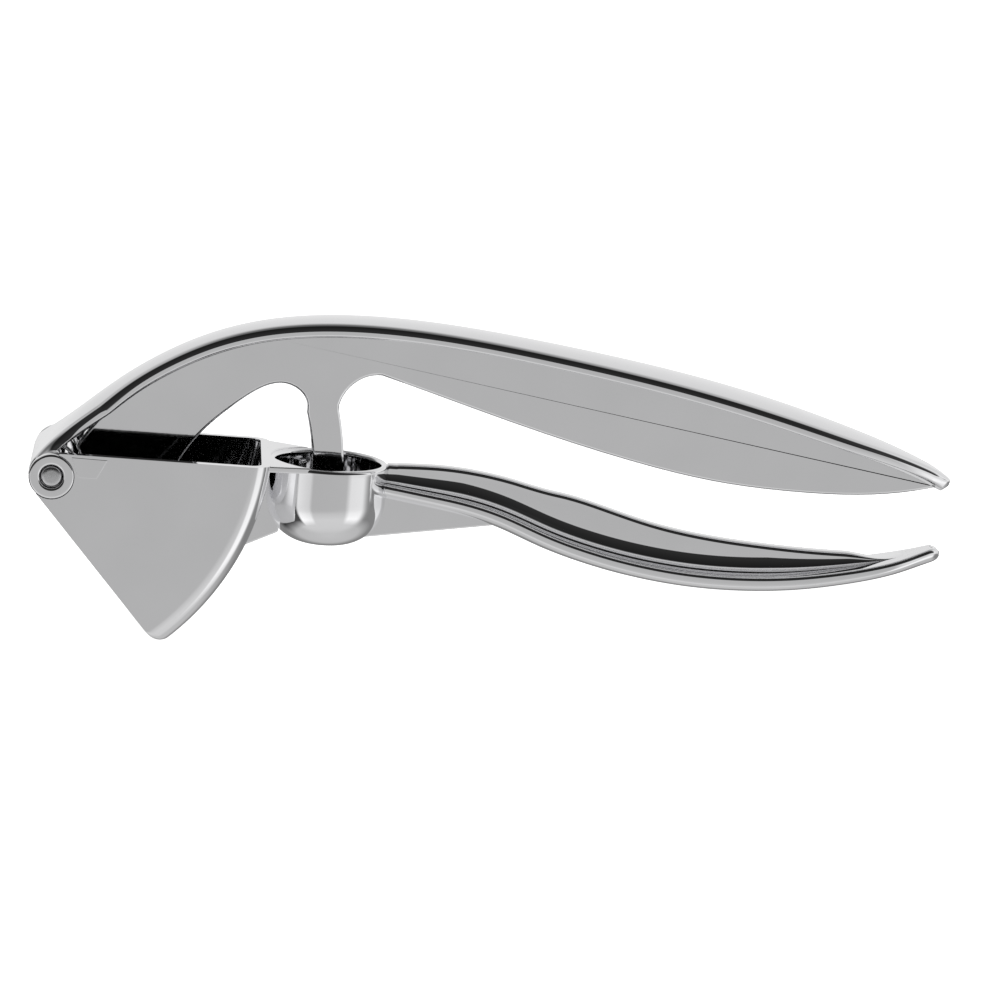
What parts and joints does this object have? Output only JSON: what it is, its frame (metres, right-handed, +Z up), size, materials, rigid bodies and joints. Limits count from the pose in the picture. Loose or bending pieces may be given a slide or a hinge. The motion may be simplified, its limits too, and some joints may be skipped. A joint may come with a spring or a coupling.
{
  "type": "garlic press",
  "caption": "Lever garlic press with a wedge hopper, perforated sieve, hinged pusher and a cherry pitter cup with its stem.",
  "frame": {"origin": "centre of the bounding box's underside: the press stands on its hopper tip and the lower handle's belly", "axes": "+X from the hinge towards the handle tips, +Y across the press along the hinge pin, +Z up"},
  "size_m": [0.1948, 0.034, 0.064],
  "materials": {
    "chrome_casting": "mirror-polished chrome plate on a zinc die casting",
    "pusher_casting": "chrome plate, as cast under the polish",
    "sieve_steel": "punched stainless steel, brushed",
    "pin_steel": "turned steel pin end"
  },
  "bodies": {
    "lower_casting": {"near_side_wall": "chrome_casting", "far_side_wall": "chrome_casting", "front_wall": "chrome_casting", "near_lug": "chrome_casting", "far_lug": "chrome_casting", "sieve_plate": "sieve_steel", "hinge_pin": "pin_steel", "near_gusset": "chrome_casting", "far_gusset": "chrome_casting", "pitter_cup": "chrome_casting", "hopper_rib": "chrome_casting", "cup_rib": "chrome_casting", "lower_handle_flange": "chrome_casting", "lower_handle_web": "chrome_casting"},
    "upper_handle": {"hinge_barrel": "chrome_casting", "pusher_plate": "pusher_casting", "upper_handle_flange": "chrome_casting", "upper_web_hinge": "chrome_casting", "pitter_stem": "chrome_casting", "upper_web_handle": "chrome_casting"}
  },
  "joints": [
    {"name": "handle_hinge", "type": "hinge", "parent": "lower_casting", "child": "upper_handle", "pos_m": [-0.09182, 0, 0.03658], "axis": [0, -1, 0], "range_deg": [0, 110]}
  ]
}
